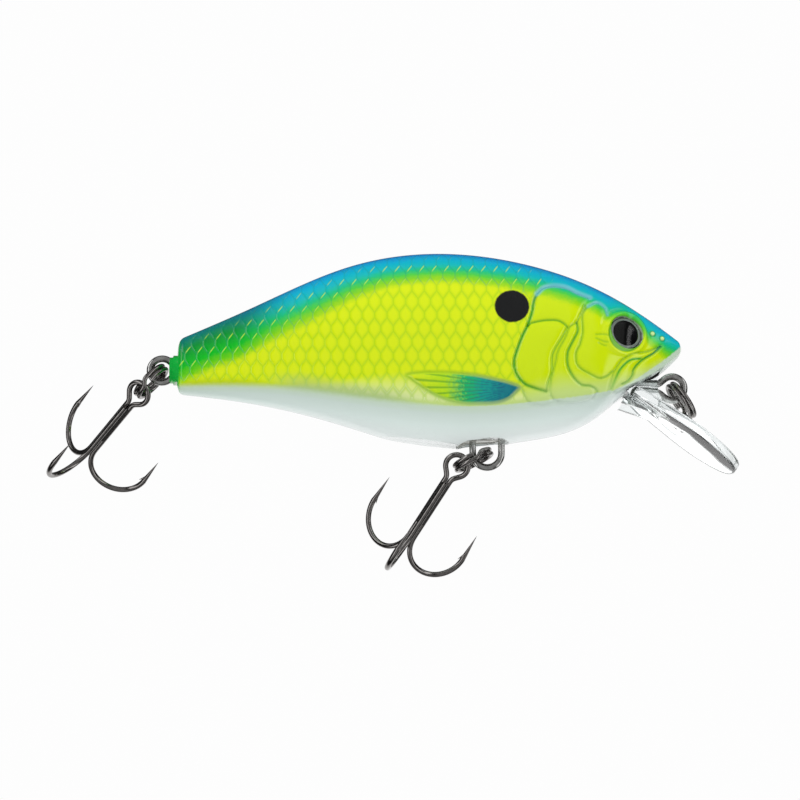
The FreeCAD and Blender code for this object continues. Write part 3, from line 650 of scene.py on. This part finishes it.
# %% [markdown]
# The cutting makes new points, so the measures that the paint needs are given to each point of the finished
# halves from the nearest point of the skin. A point that is far from the skin lies inside, where the
# plastic is bare.

# %% Measures for the paint
# Where the blue of the back starts, and how far the pale band reaches above the chine.
BLUE_LINE = [(-68.0, 3.2), (-65.6, 4.3), (-62.0, 5.9), (-58.6, 7.0), (-55.2, 8.9), (-51.6, 10.6),
             (-47.6, 12.4), (-43.7, 14.2), (-39.8, 15.4), (-35.9, 16.0), (-32.0, 16.3), (-27.1, 16.0),
             (-22.9, 15.4), (-19.3, 14.5), (-16.7, 13.9), (-12.0, 12.4), (-8.8, 10.6), (-6.7, 10.7),
             (-4.7, 9.6), (-3.6, 7.9), (-1.0, 5.9), (1.5, 4.9)]
PALE_HEIGHT = [(-68.0, 0.2), (-52.0, 0.5), (-45.0, 2.2), (-36.0, 4.6), (-30.0, 3.6), (-22.0, 2.6),
               (-16.0, 4.2), (-10.0, 3.0), (-4.0, 2.0), (1.5, 1.0)]
SPOT_CENTRE, SPOT_R = (-22.1, 11.0), (2.35, 2.2)

blue_at = np.interp(u, *np.array(BLUE_LINE).T)
band = np.interp(u, [-68, -50, -38, -10, 2], [3.0, 2.9, 1.9, 1.9, 2.2])
above_top = np.where(v > 5, row_height, v)
spot = np.hypot((u - SPOT_CENTRE[0]) / SPOT_R[0], (v - SPOT_CENTRE[1]) / SPOT_R[1])
# Painted highlights: a pale line just inside the top edge of the gill cover and along the top of the cheek
# lobe, where light from above catches these ridges.
cover_top_highlight = np.exp(-((distance_to(smooth_line(COVER_TOP[:6]), 1.5) - 0.15) / 0.2) ** 2)
cheek_lobe_highlight = np.exp(-((distance_to(smooth_line(CHEEK[:4]), 1.5) - 0.1) / 0.16) ** 2)
measures = {
    "blue_share": (above_top - blue_at) / band,
    "above_chine": above_chine,
    "pale_share": above_chine / np.interp(u, *np.array(PALE_HEIGHT).T),
    "lattice_x": lattice_x, "lattice_y": lattice_y, "scaled": scaled,
    "groove": groove * side, "ridge_highlight": np.maximum(cover_top_highlight, 0.8 * cheek_lobe_highlight) * side,
    "spot": spot, "fin": fin, "fin_along": (u + 36.2) / 15.0, "rays": rays * fin, "fin_edge": fin_edge * side,
    "belly_edge": 0.75 * smooth_step(-9.0, -2.0, u),
    "belly_blur": np.interp(u, [-68, -50, -36, -30], [0.5, 0.7, 0.5, 0.16]),
    "crease_shade_span": smooth_step(-56, -50, u) * smooth_step(-33, -40, u),
    "tail_share": 1 - smooth_step(-60, -50, u), "nostril": nostril, "from_eye": from_eye}

finder = kdtree.KDTree(points.shape[0] * points.shape[1])
for k, place in enumerate(detailed.reshape(-1, 3)):
    finder.insert(place, k)
finder.balance()
BARE_FROM = 0.45
for side_name, half in halves.items():
    mesh = half.data
    flat = np.zeros(len(mesh.vertices) * 3)
    mesh.vertices.foreach_get("co", flat)
    places = flat.reshape(-1, 3) / MM * [1, 1 if side_name == "left" else -1, 1]
    found = [finder.find(place) for place in places]
    nearest = np.array([f[1] for f in found])
    measures_here = {name: values.reshape(-1)[nearest] for name, values in measures.items()}
    inside = smooth_step(BARE_FROM - 0.1, BARE_FROM, np.array([f[2] for f in found]))
    measures_here["bare"] = np.where(places[:, 0] < TAIL_X - 0.01, 0, inside)
    measures_here["tail_end"] = smooth_step(TAIL_X + 0.5, TAIL_X + 0.1, places[:, 0])
    for name, values in measures_here.items():
        mesh.attributes.new(name, "FLOAT", "POINT").data.foreach_set("value", values.astype(np.float32))
    mesh.shade_smooth()
    mesh.set_sharp_from_angle(angle=math.radians(50))
print("measures:", ", ".join(measures))

# %% [markdown]
# ## Paint
# A hard bait is sprayed in layers: a white base, fluorescent chartreuse on the flanks, green and blue
# misted along the back, a black spot and a blue fin from stencils, and a thick gloss clear coat over all.
# Each layer here is a mix on top of the one before, and the mist edges are broken up by fine noise. To the
# eye the coat is a sharp thin reflection over colour that barely shines, so the coat is smooth and full and
# the paint under it keeps only a weak reflection of its own.

# %% Painted ABS, clear-coated
paint, tree = new_material("airbrushed_abs_clear_coated")


def measure(name):
    return add(tree, "ShaderNodeAttribute", attribute_name=name).outputs["Fac"]


def sums(how, a, b=0.0, c=0.0, clamp=False):
    return add(tree, "ShaderNodeMath", {0: a, 1: b, 2: c}, operation=how, use_clamp=clamp).outputs[0]


def layer(share, under, over):
    mix = add(tree, "ShaderNodeMix", {"Factor": share, "A": under, "B": over}, data_type="RGBA")
    return mix.outputs["Result"]


def between(value, low, high):
    return add(tree, "ShaderNodeMapRange", {"Value": value, "From Min": low, "From Max": high},
               interpolation_type="SMOOTHSTEP").outputs[0]


object_place = add(tree, "ShaderNodeTexCoord").outputs["Object"]
mist = add(tree, "ShaderNodeTexNoise", {"Vector": object_place, "Scale": 2200.0, "Detail": 3.0}).outputs["Fac"]
cloud = add(tree, "ShaderNodeTexNoise", {"Vector": object_place, "Scale": 180.0, "Detail": 2.0}).outputs["Fac"]
mist_shift = sums("MULTIPLY_ADD", mist, 0.30, -0.15)
cloud_shift = sums("MULTIPLY_ADD", cloud, 0.3, -0.15)

# %% Scale lines
# The lattice is worked out again in the shader, so its lines stay crisp between the points of the mesh.
across = sums("PINGPONG", measure("lattice_x"), SCALE_LONG / 2)
upward = sums("PINGPONG", measure("lattice_y"), SCALE_HIGH)
past_tip = sums("SUBTRACT", sums("MULTIPLY_ADD", across, TIP_SLOPE, upward), reach)
in_odd_row = sums("GREATER_THAN", past_tip, 0.0)
from_tip = sums("DIVIDE", sums("ABSOLUTE", past_tip), math.hypot(1, TIP_SLOPE))
even_side = sums("SUBTRACT", SCALE_LONG / 2, across)
from_side = sums("ADD", sums("MULTIPLY", in_odd_row, across),
                 sums("MULTIPLY", sums("SUBTRACT", 1.0, in_odd_row), even_side))
from_edge = sums("SMOOTH_MIN", from_tip, from_side, 0.15)
half_step = sums("MULTIPLY", in_odd_row, 0.5)
place_in_row = sums("SUBTRACT", sums("DIVIDE", measure("lattice_x"), SCALE_LONG), half_step)
towards_tail = sums("SUBTRACT", sums("FRACT", sums("ADD", place_in_row, 1000.0)), 0.5)
place_up = sums("SUBTRACT", sums("DIVIDE", measure("lattice_y"), 2 * SCALE_HIGH), half_step)
towards_back = sums("SUBTRACT", 0.5, sums("FRACT", sums("ADD", place_up, 1000.0)))
scale_line = sums("MULTIPLY", sums("SUBTRACT", 1.0, between(from_edge, 0.0, 0.16)), measure("scaled"))
scale_middle = sums("MULTIPLY", between(from_edge, 0.12, 0.42), measure("scaled"))
free_edge = sums("MULTIPLY", between(towards_tail, 0.05, 0.25), between(towards_back, 0.05, 0.2))
free_edge = sums("MULTIPLY", sums("MULTIPLY", sums("SUBTRACT", 1.0, between(from_tip, 0.06, 0.2)), free_edge),
                 measure("scaled"))

# %% Flank
flank = layer(sums("MULTIPLY", scale_middle, 0.7), colour("#CEE600"), colour("#E0F000"))
flank = layer(sums("MULTIPLY", scale_line, 0.38), flank, colour("#96D20A"))
pale = sums("SUBTRACT", 1.0, between(sums("ADD", measure("pale_share"), cloud_shift), 0.0, 1.0))
pale_colour = layer(scale_middle, colour("#C4DC82"), colour("#DCE9A6"))
flank = layer(sums("MULTIPLY", pale, sums("SUBTRACT", 1.0, measure("tail_share"))), flank, pale_colour)
olive = sums("SUBTRACT", 1.0, between(measure("above_chine"), 0.3, 1.3))
flank = layer(sums("MULTIPLY", sums("MULTIPLY", olive, measure("tail_share")), 0.7), flank, colour("#B4C800"))

# %% Back and tail
blue_share = sums("ADD", measure("blue_share"), mist_shift)
ramp_place = add(tree, "ShaderNodeMapRange", {"Value": blue_share, "From Min": -1.3,
                                              "From Max": 1.2}).outputs[0]
back = add(tree, "ShaderNodeValToRGB", {0: ramp_place}, stops=[
    (0.0, colour("#D0E800")), (0.25, colour("#8AD416")), (0.38, colour("#4CCC40")), (0.5, colour("#14C07C")),
    (0.64, colour("#05B8B8")), (0.8, colour("#05B0CE")), (1.0, colour("#0A90DC"))]).outputs[0]
tail = add(tree, "ShaderNodeValToRGB", {0: ramp_place}, stops=[
    (0.0, colour("#C8E600")), (0.22, colour("#66CE00")), (0.38, colour("#00BC1C")), (0.55, colour("#04A42C")),
    (0.68, colour("#068E34")), (0.85, colour("#0A7A68")), (1.0, colour("#107290"))]).outputs[0]
back = layer(measure("tail_share"), back, tail)
back = layer(sums("MULTIPLY", scale_line, 0.3), back, colour("#1E9678"))
skin_colour = layer(between(blue_share, -1.3, -0.8), flank, back)
# Painted highlight: a bright yellow-green stroke on the free edge of each scale over the back, as if lit from
# above.
scale_edge_highlight = sums("MULTIPLY", free_edge, sums("MULTIPLY", between(blue_share, -1.6, -0.4),
                                              sums("SUBTRACT", 1.0, between(blue_share, 0.3, 0.95))))
skin_colour = layer(sums("MULTIPLY", scale_edge_highlight, 0.75), skin_colour, colour("#C4F040"))
lower_half = sums("SUBTRACT", 1.0, between(towards_back, -0.2, 0.0))
low_edge = sums("MULTIPLY", sums("MULTIPLY", scale_line, pale), lower_half)
skin_colour = layer(sums("MULTIPLY", low_edge, 0.5), skin_colour, colour("#F4F8D0"))

# %% Grooves and fin
groove_share = sums("MULTIPLY", measure("groove"), sums("SUBTRACT", 1.0, sums("MULTIPLY", pale, 0.6)))
groove_colour = layer(between(blue_share, -2.5, 0.4), colour("#22A81C"), colour("#0A7C6C"))
skin_colour = layer(groove_share, skin_colour, groove_colour)
# Painted highlight: pale blue along the top edges of the gill cover and the cheek lobe.
skin_colour = layer(sums("MULTIPLY", measure("ridge_highlight"), 0.6), skin_colour, colour("#8EDCF0"))

fin_ramp = add(tree, "ShaderNodeValToRGB", {0: sums("ADD", measure("fin_along"), mist_shift)}, stops=[
    (0.0, colour("#DCEA10")), (0.34, colour("#B4E010")), (0.52, colour("#14B464")), (0.68, colour("#009A8E")),
    (0.84, colour("#007A86")), (1.0, colour("#006C7C"))]).outputs[0]
ray_colour = layer(between(measure("fin_along"), 0.3, 0.8), colour("#4E9E20"), colour("#044A78"))
fin_ramp = layer(sums("MULTIPLY", between(measure("rays"), 0.45, 1.0), 0.65), fin_ramp, ray_colour)
skin_colour = layer(measure("fin"), skin_colour, fin_ramp)
fin_line = layer(between(measure("fin_along"), 0.3, 0.9), colour("#86C81E"), colour("#0C7C84"))
skin_colour = layer(sums("MULTIPLY", measure("fin_edge"), 0.5), skin_colour, fin_line)

# %% Belly, nostrils, spot and bare plastic
above_border = sums("SUBTRACT", sums("ADD", measure("above_chine"), mist_shift), measure("belly_edge"))
border = sums("DIVIDE", above_border, measure("belly_blur"))
belly = sums("SUBTRACT", 1.0, between(border, -1.0, 1.0))
# Painted shade: grey-green in the crease just above the belly edge, along the middle of the body.
painted_crease_shade = sums("MULTIPLY", between(border, 4.0, 0.5), measure("crease_shade_span"))
skin_colour = layer(sums("MULTIPLY", painted_crease_shade, 0.6), skin_colour, colour("#9DB87C"))
# The belly is white paint; the ramp adds painted shade, greyer green towards the chine and white at the keel.
belly_paint_and_shade = add(tree, "ShaderNodeValToRGB", {0: between(measure("above_chine"), -8.0, 0.5)}, stops=[
    (0.0, colour("#F4F9F8")), (0.6, colour("#E2EFEA")), (0.88, colour("#D3E2DA")),
    (1.0, colour("#C6DAC2"))]).outputs[0]
skin_colour = layer(belly, skin_colour, belly_paint_and_shade)
skin_colour = layer(measure("tail_end"), skin_colour, colour("#12B440"))
skin_colour = layer(between(measure("nostril"), 0.52, 0.3), skin_colour, colour("#2FA050"))
skin_colour = layer(between(measure("nostril"), 0.36, 0.18), skin_colour, colour("#CFEFA0"))
# Painted shade: darker green in the recess round the eye.
eye_recess_shade = sums("SUBTRACT", 1.0, between(measure("from_eye"), 2.35, 2.6))
skin_colour = layer(sums("MULTIPLY", eye_recess_shade, 0.85), skin_colour, colour("#3EA01E"))
spot_edge = sums("ADD", measure("spot"), sums("MULTIPLY", mist_shift, 0.25))
spot_share = sums("SUBTRACT", 1.0, between(spot_edge, 0.94, 1.04))
skin_colour = layer(spot_share, skin_colour, colour("#0A0B0D"))
skin_colour = layer(measure("bare"), skin_colour, colour("#EDEDE6"))

# %% Clear coat
# Relief finer than the mesh: the tilt of each scale, and the orange peel of the clear coat.
tilt = sums("SUBTRACT", sums("MULTIPLY", towards_tail, measure("scaled")), sums("MULTIPLY", scale_line, 0.5))
peel = add(tree, "ShaderNodeTexNoise", {"Vector": object_place, "Scale": 420.0, "Detail": 2.0}).outputs["Fac"]
relief = add(tree, "ShaderNodeBump", {"Height": tilt, "Strength": 0.5, "Distance": 0.04 * MM}).outputs[0]
coat_relief = add(tree, "ShaderNodeBump", {"Height": peel, "Strength": 0.15, "Distance": 0.02 * MM,
                                           "Normal": relief}).outputs[0]
surface = add(tree, "ShaderNodeBsdfPrincipled", {
    "Base Color": skin_colour, "Roughness": 0.2, "Specular IOR Level": 0.08, "Coat Weight": 1.0,
    "Coat Roughness": 0.05, "Coat IOR": 1.5, "Normal": relief, "Coat Normal": coat_relief})
add(tree, "ShaderNodeOutputMaterial", {"Surface": surface.outputs[0]})

for side_name, half in halves.items():
    half.data.materials.clear()
    half.data.materials.append(paint)
    for face in half.data.polygons:
        face.material_index = 0
    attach(half, "body")
    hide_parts(side_name + "_body_shell")

# %% [markdown]
# ## Eyes
# Each eye is a printed foil disc, a black pupil in a silver ring, under a clear domed lens. Both are
# turned shapes, so a small lathe makes them from half an outline. The foil is dull, so the one bright
# reflection is the lens's own. The lens is sunk slightly into the disc, so no air gap greys the pupil.


# %% Lathe
def lathe(name, outline, centre, look, segments=96):
    """Turns (radius, height) points about the line through centre that runs along look."""
    turned = look.to_track_quat("Z", "Y").to_matrix()
    verts, radii, faces = [], [], []
    for radius, rise in outline:
        for k in range(segments if radius > 0 else 1):
            t = 2 * math.pi * k / segments
            verts.append(centre + turned @ Vector((radius * math.cos(t), radius * math.sin(t), rise)))
            radii.append(radius)
    starts = np.cumsum([0] + [segments if radius > 0 else 1 for radius, _ in outline])
    for ring in range(len(outline) - 1):
        a, b = starts[ring], starts[ring + 1]
        one, two = outline[ring][0] > 0, outline[ring + 1][0] > 0
        for k in range(segments):
            n = (k + 1) % segments
            face = [a + k, a + n] if one else [a]
            face += [b + n, b + k] if two else [b]
            faces.append([int(c) for c in face])
    mesh = bpy.data.meshes.new(name)
    mesh.from_pydata([p * MM for p in verts], [], faces)
    shape = bmesh.new()
    shape.from_mesh(mesh)
    bmesh.ops.recalc_face_normals(shape, faces=shape.faces)
    shape.to_mesh(mesh)
    shape.free()
    mesh.attributes.new("radius", "FLOAT", "POINT").data.foreach_set("value", radii)
    mesh.shade_smooth()
    mesh.set_sharp_from_angle(angle=math.radians(40))
    return mesh_object(name, mesh)


# %% Foil disc and lens
DISC_R, DISC_THICK, LENS_HIGH, LENS_SUNK = 2.3, 0.35, 0.8, 0.02
foil, tree = new_material("printed_foil")
radius = measure("radius")
grain = add(tree, "ShaderNodeTexNoise", {"Vector": add(tree, "ShaderNodeTexCoord").outputs["Object"],
                                         "Scale": 900.0, "Detail": 4.0}).outputs["Fac"]
silver = layer(grain, colour("#9AA4A0"), colour("#D2DAD6"))
# Painted shadow: the dark green ring at the edge of the foil, where the socket shades it.
rim = layer(between(radius, 2.1, 2.22), silver, colour("#1E5A2A"))
iris = layer(between(radius, 1.74, 1.8), colour("#060607"), rim)
surface = add(tree, "ShaderNodeBsdfPrincipled", {"Base Color": iris, "Roughness": 0.5,
                                                 "Specular IOR Level": 0.05})
add(tree, "ShaderNodeOutputMaterial", {"Surface": surface.outputs[0]})

resin, tree = new_material("clear_domed_resin")
scratches = add(tree, "ShaderNodeTexNoise", {"Vector": add(tree, "ShaderNodeTexCoord").outputs["Object"],
                                             "Scale": 1500.0, "Detail": 2.0}).outputs["Fac"]
haze = add(tree, "ShaderNodeMapRange", {"Value": scratches, "To Min": 0.01, "To Max": 0.03}).outputs[0]
surface = add(tree, "ShaderNodeBsdfPrincipled", {"Base Color": colour("#FAFCFC"), "Roughness": haze,
                                                 "IOR": 1.5, "Transmission Weight": 1.0})
add(tree, "ShaderNodeOutputMaterial", {"Surface": surface.outputs[0]})

ball_r = (DISC_R ** 2 + LENS_HIGH ** 2) / (2 * LENS_HIGH)
for side_name, side_sign in (("left", 1), ("right", -1)):
    look = eye_look(side_sign)
    low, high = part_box(side_name + "_eye_disc")
    middle = (low + high) / 2 / MM
    half_thick = DISC_THICK / 2
    rings = [(r, half_thick) for r in (0, 0.9, 1.7, 1.77, 1.84, 2.0, 2.1, 2.25)]
    rings += [(DISC_R, half_thick - 0.05), (DISC_R, -half_thick), (0, -half_thick)]
    disc = lathe(side_name + "_foil_disc", rings, middle, look)
    dome = [(DISC_R * math.sin(t), half_thick - LENS_SUNK + LENS_HIGH - ball_r * (1 - math.cos(math.asin(
        DISC_R * math.sin(t) / ball_r)))) for t in np.linspace(0, math.pi / 2, 20)]
    lens = lathe(side_name + "_domed_lens", dome + [(0, half_thick - LENS_SUNK)], middle, look)
    disc.data.materials.append(foil)
    lens.data.materials.append(resin)
    for piece, node, slot in ((disc, "_eye_disc", "printed_foil"), (lens, "_eye_lens", "clear_resin")):
        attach(piece, "body")
        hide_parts(side_name + node)
print("lens is a cap of a", round(ball_r, 1), "mm ball")

# %% [markdown]
# ## Metals
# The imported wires, rings, hooks, ballast and balls already have their true shape, so they keep it and only
# get a finish. The plated hooks and rings are a dark warm mirror, stainless wire is a brighter and slightly
# duller one, braze is rough, and ground balls are nearly a true mirror.


# %% Plated and drawn metals
def metal_material(name, dark, light, rough_low, rough_high, grain_mm):
    """A metal whose colour and polish vary a little, in patches of about grain_mm."""
    made, tree = new_material(name)
    place = add(tree, "ShaderNodeTexCoord").outputs["Object"]
    patches = add(tree, "ShaderNodeTexNoise", {"Vector": place, "Scale": 1000 / grain_mm,
                                               "Detail": 4.0}).outputs["Fac"]
    shade = add(tree, "ShaderNodeValToRGB", {0: patches},
                stops=[(0.35, colour(dark)), (0.65, colour(light))]).outputs[0]
    rough = add(tree, "ShaderNodeMapRange", {"Value": patches, "To Min": rough_low,
                                             "To Max": rough_high}).outputs[0]
    marks = add(tree, "ShaderNodeBump", {"Height": patches, "Strength": 0.05,
                                         "Distance": 0.01 * MM}).outputs[0]
    surface = add(tree, "ShaderNodeBsdfPrincipled", {"Base Color": shade, "Metallic": 1.0, "Roughness": rough,
                                                     "Normal": marks})
    add(tree, "ShaderNodeOutputMaterial", {"Surface": surface.outputs[0]})
    return made


black_nickel = metal_material("black_nickel_plate", "#858280", "#9C9896", 0.10, 0.18, 0.5)
stainless = metal_material("drawn_stainless_wire", "#B4B4B2", "#D8D8D6", 0.12, 0.26, 0.6)
braze = metal_material("nickel_plated_braze", "#4A4846", "#6C6A68", 0.35, 0.5, 0.3)
bar_steel = metal_material("turned_bar_steel", "#8A8A88", "#A8A8A6", 0.3, 0.45, 0.4)
ball_steel = metal_material("ground_ball_steel", "#C4C6C8", "#DADCDE", 0.05, 0.12, 0.8)

FINISHES = {
    "black_nickel_hook": black_nickel, "black_nickel_ring": black_nickel, "stainless_wire": stainless,
    "braze_metal": braze, "ballast_steel": bar_steel, "ball_steel": ball_steel}

for part in frame["record"]["subparts"]:
    finish = FINISHES.get(part["material_slot"])
    if finish:
        mesh = frame["nodes"][part["node"]].data
        mesh.materials.clear()
        mesh.materials.append(finish)
        print(part["node"], "gets", finish.name)

# %% [markdown]
# ## Clear lip
# The lip is clear polycarbonate from a polished mould. It bends light more than glass does and has almost no
# colour, so what the eye sees of it is its edges. A packed edge is sharp, and a moulded one is rounded, so
# the lip is copied, its flat faces are joined up again, and its edges are rounded to catch thin lines.

# %% Clear polycarbonate
clear, tree = new_material("moulded_clear_polycarbonate")
flow = add(tree, "ShaderNodeTexNoise", {"Vector": add(tree, "ShaderNodeTexCoord").outputs["Object"],
                                        "Scale": 160.0, "Detail": 2.0}).outputs["Fac"]
polish = add(tree, "ShaderNodeMapRange", {"Value": flow, "To Min": 0.01, "To Max": 0.05}).outputs[0]
ripple = add(tree, "ShaderNodeBump", {"Height": flow, "Strength": 0.08, "Distance": 0.05 * MM}).outputs[0]
surface = add(tree, "ShaderNodeBsdfPrincipled", {"Base Color": colour("#F6FAFA"), "Roughness": polish,
                                                 "IOR": 1.58, "Transmission Weight": 1.0,
                                                 "Normal": ripple})
add(tree, "ShaderNodeOutputMaterial", {"Surface": surface.outputs[0]})

# %% Rounded lip
EDGE_ROUND = 0.3
lip = copy_of("diving_lip")
lip.name = "moulded_clear_lip"
shape = bmesh.new()
shape.from_mesh(lip.data)
bmesh.ops.dissolve_limit(shape, angle_limit=math.radians(1), verts=shape.verts, edges=shape.edges)
shape.to_mesh(lip.data)
shape.free()
rounding = lip.modifiers.new("edges", "BEVEL")
rounding.width = EDGE_ROUND * MM
rounding.segments = 3
rounding.limit_method = "ANGLE"
rounding.angle_limit = math.radians(50)
bpy.context.view_layer.update()
lip.data = bpy.data.meshes.new_from_object(lip.evaluated_get(bpy.context.evaluated_depsgraph_get()))
lip.modifiers.clear()
lip.data.materials.clear()
lip.data.materials.append(clear)
lip.data.shade_smooth()
lip.data.set_sharp_from_angle(angle=math.radians(50))
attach(lip, "body")
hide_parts("diving_lip")
print("lip:", len(lip.data.polygons), "faces, edges rounded to", EDGE_ROUND, "mm")
